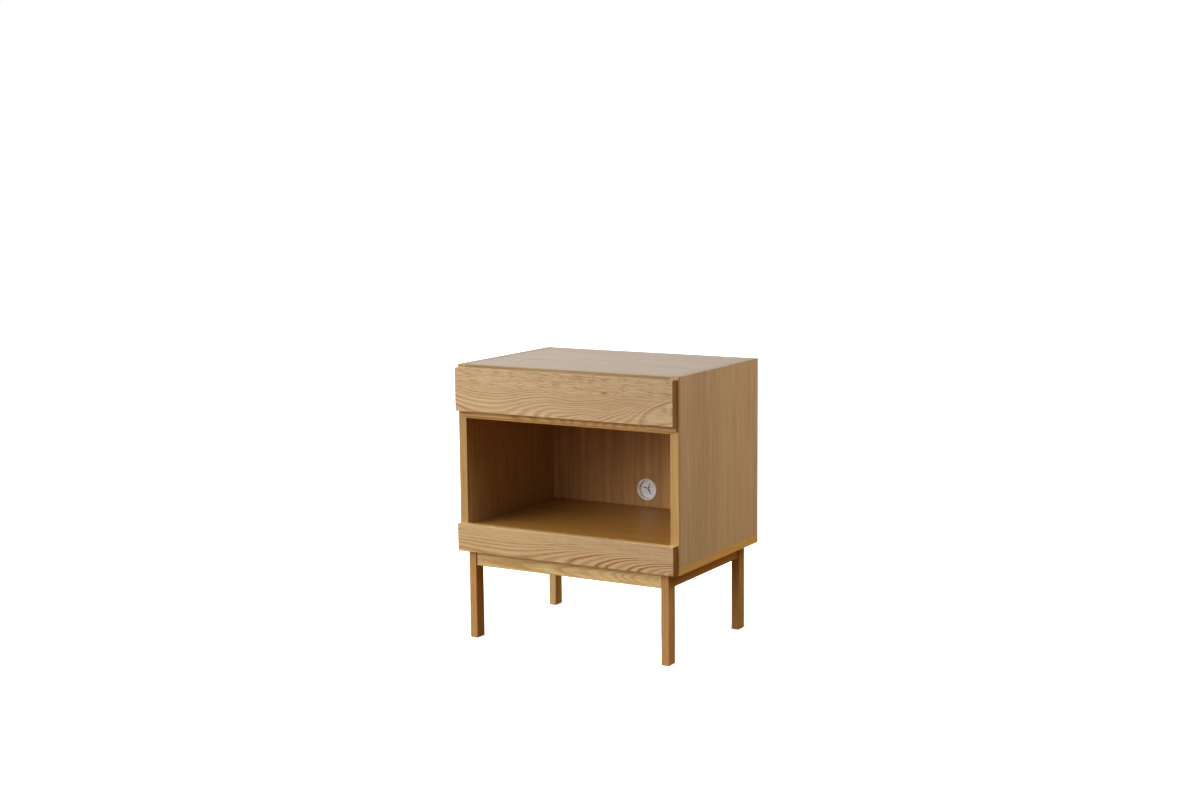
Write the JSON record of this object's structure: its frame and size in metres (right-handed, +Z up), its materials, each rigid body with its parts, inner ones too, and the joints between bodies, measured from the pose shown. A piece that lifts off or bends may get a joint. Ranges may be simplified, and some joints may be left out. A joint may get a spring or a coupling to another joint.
{
  "type": "bedside cabinet",
  "caption": "Oak bedside cabinet on a low leg frame, with a top drawer on telescopic slides above an open compartment that has a cable outlet in its back panel.",
  "frame": {"origin": "centre of the overall footprint, on the floor plane under the leg glides", "axes": "+Z up; the drawer front faces -Y and the drawer opens towards -Y; +X is to the right seen from the front"},
  "size_m": [0.54, 0.3948, 0.605],
  "materials": {
    "oak_veneer": "satin lacquered oak veneer, straight grain",
    "oak_board": "satin lacquered flat-sawn solid oak",
    "oak_solid": "satin lacquered solid oak, straight grain",
    "light_softwood": "plain sanded light wood",
    "drawer_plywood": "thin lacquered plywood",
    "dowel_beech": "raw beech",
    "screw_steel": "zinc plated",
    "slide_steel": "zinc plated cold-rolled strip",
    "cage_steel": "zinc plated thin strip",
    "ball_steel": "polished",
    "outlet_plastic": "white moulded plastic",
    "outlet_flap": "white flexible flap disc",
    "glide_plastic": "brown moulded nylon",
    "bumper_pad": "clear soft polyurethane"
  },
  "bodies": {
    "cabinet": {"side_panel_left": "oak_veneer", "side_panel_right": "oak_veneer", "side_lipping_left": "oak_solid", "side_lipping_right": "oak_solid", "top_panel": "oak_veneer", "top_lipping": "oak_solid", "bottom_panel": "oak_veneer", "drawer_divider": "oak_veneer", "divider_lipping": "oak_solid", "back_panel": "oak_veneer", "compartment_floor": "oak_veneer", "floor_bearer_left": "light_softwood", "floor_bearer_right": "light_softwood", "front_batten": "light_softwood", "rear_batten": "light_softwood", "lower_front_board": "oak_board", "cable_outlet_ring": "outlet_plastic", "cable_outlet_membrane": "outlet_flap", "leg_front_left": "oak_solid", "leg_front_right": "oak_solid", "leg_rear_left": "oak_solid", "leg_rear_right": "oak_solid", "apron_front": "oak_solid", "apron_rear": "oak_solid", "apron_left": "oak_solid", "apron_right": "oak_solid", "base_dowels": "dowel_beech", "base_screws": "screw_steel", "leg_glides": "glide_plastic", "carcass_dowels": "dowel_beech", "bearer_screws": "screw_steel", "front_board_screws": "screw_steel", "slide_cabinet_member_left": "slide_steel", "slide_cabinet_member_right": "slide_steel", "slide_cabinet_screws": "screw_steel"},
    "slide_middle": {"slide_middle_member_left": "slide_steel", "slide_middle_member_right": "slide_steel"},
    "outer_cages": {"outer_ball_cage_left": "cage_steel", "outer_ball_cage_right": "cage_steel", "outer_slide_balls": "ball_steel"},
    "inner_cages": {"inner_ball_cage_left": "cage_steel", "inner_ball_cage_right": "cage_steel", "inner_slide_balls": "ball_steel"},
    "drawer": {"drawer_front": "oak_board", "drawer_inner_front": "light_softwood", "drawer_side_left": "light_softwood", "drawer_side_right": "light_softwood", "drawer_back": "light_softwood", "drawer_bottom": "drawer_plywood", "drawer_dowels": "dowel_beech", "drawer_front_screws": "screw_steel", "drawer_bumpers": "bumper_pad", "slide_drawer_member_left": "slide_steel", "slide_drawer_member_right": "slide_steel", "slide_drawer_screws": "screw_steel"}
  },
  "joints": [
    {"name": "drawer_slide", "type": "slide", "parent": "cabinet", "child": "drawer", "axis": [0, -1, 0], "range_m": [0, 0.29]},
    {"name": "slide_middle_travel", "type": "slide", "parent": "cabinet", "child": "slide_middle", "axis": [0, -1, 0], "range_m": [0, 0.145]},
    {"name": "outer_cage_travel", "type": "slide", "parent": "cabinet", "child": "outer_cages", "axis": [0, -1, 0], "range_m": [0, 0.0725]},
    {"name": "inner_cage_travel", "type": "slide", "parent": "cabinet", "child": "inner_cages", "axis": [0, -1, 0], "range_m": [0, 0.2175]}
  ],
  "couplings": [
    {"joint": "slide_middle_travel", "follows": "drawer_slide", "ratio": 0.5},
    {"joint": "outer_cage_travel", "follows": "drawer_slide", "ratio": 0.25},
    {"joint": "inner_cage_travel", "follows": "drawer_slide", "ratio": 0.75}
  ]
}
